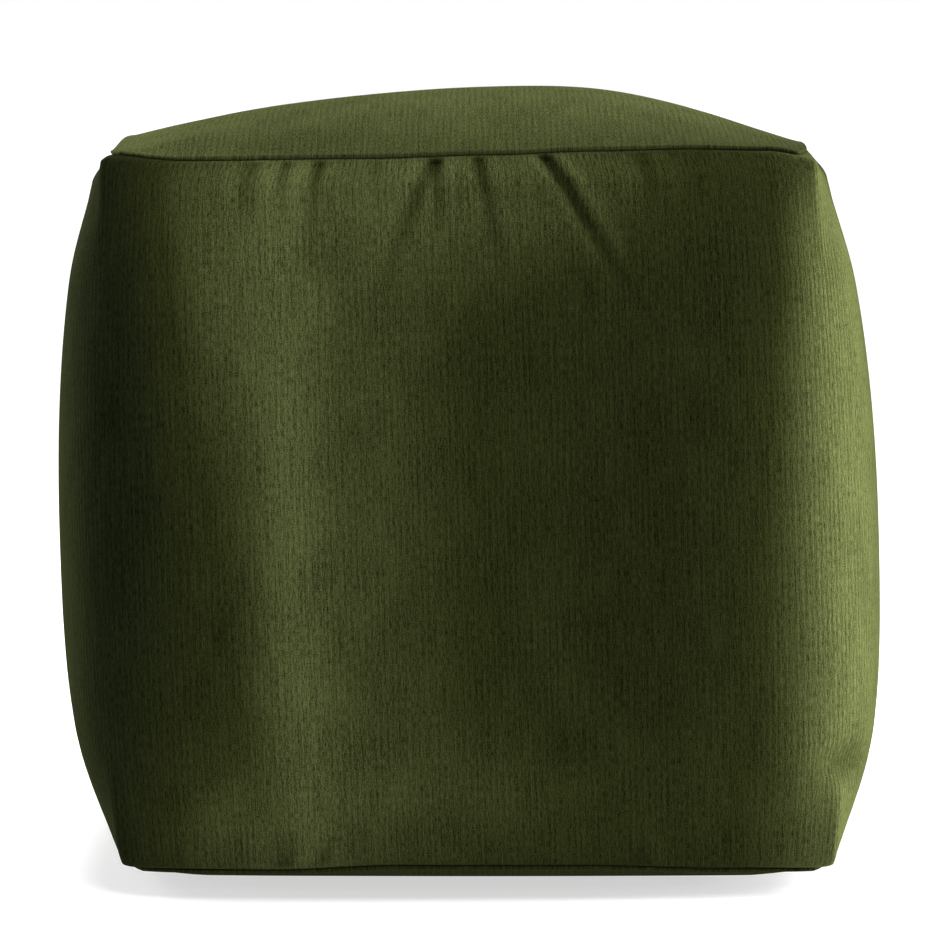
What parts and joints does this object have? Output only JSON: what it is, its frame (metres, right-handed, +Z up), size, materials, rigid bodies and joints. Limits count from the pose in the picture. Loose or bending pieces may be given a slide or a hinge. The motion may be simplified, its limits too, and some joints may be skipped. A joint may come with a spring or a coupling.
{
  "type": "cube pouf stool",
  "caption": "Soft filled cube stool: a ribbed velvet side band sewn to square top and base panels.",
  "frame": {"origin": "centre of the base, on the floor", "axes": "+Z up, -Y to the side seen in the reference view, +X to the right of it"},
  "size_m": [0.463, 0.463, 0.4398],
  "materials": {
    "side_velvet": "olive green velvet with fine upright ribs",
    "top_velvet": "olive green velvet with fine ribs running front to back",
    "base_velvet": "olive green velvet with fine ribs running front to back"
  },
  "bodies": {
    "root": {"side_band": "side_velvet", "top_panel": "top_velvet", "base_panel": "base_velvet"}
  },
  "joints": []
}
